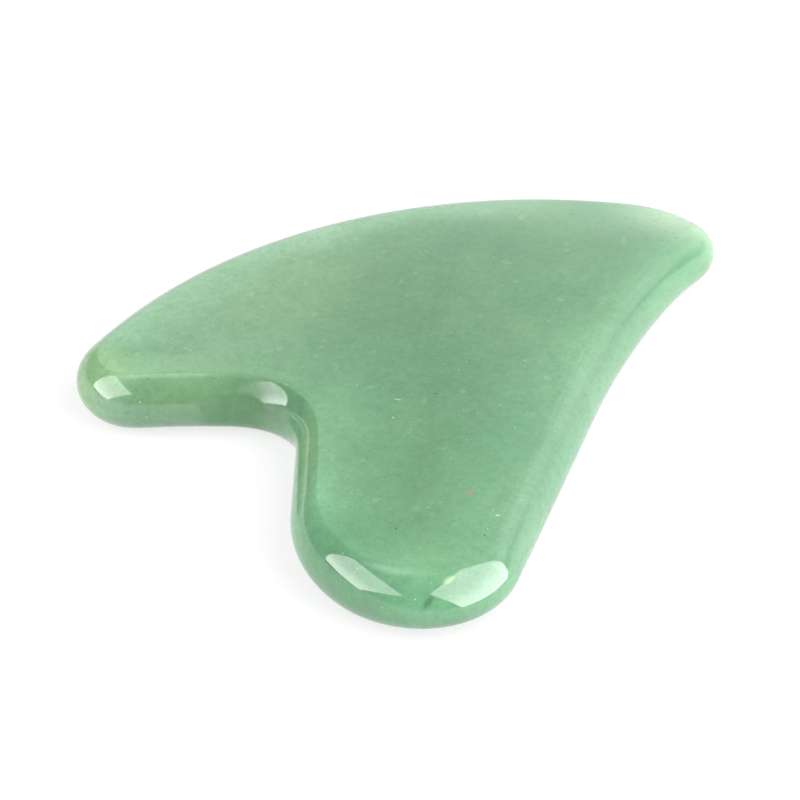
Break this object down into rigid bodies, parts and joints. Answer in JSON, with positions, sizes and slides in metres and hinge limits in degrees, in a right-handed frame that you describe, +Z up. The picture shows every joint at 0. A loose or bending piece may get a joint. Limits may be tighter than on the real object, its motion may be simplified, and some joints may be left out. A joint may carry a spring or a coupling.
{
  "type": "gua sha scraper",
  "caption": "Flat polished green stone scraper for gua sha massage: round lobes either side of a notch, a blunt tip and a long, slightly hollow scraping edge.",
  "frame": {"origin": "bottom centre of the bounding box, on the lower flat face", "axes": "+Z up, through the thickness; +X along the longest extent, from the round lobe towards the tip; the long scraping edge faces -Y"},
  "size_m": [0.081, 0.0586, 0.0072],
  "materials": {
    "green_stone": "polished"
  },
  "bodies": {
    "root": {"stone_slab": "green_stone"}
  },
  "joints": []
}
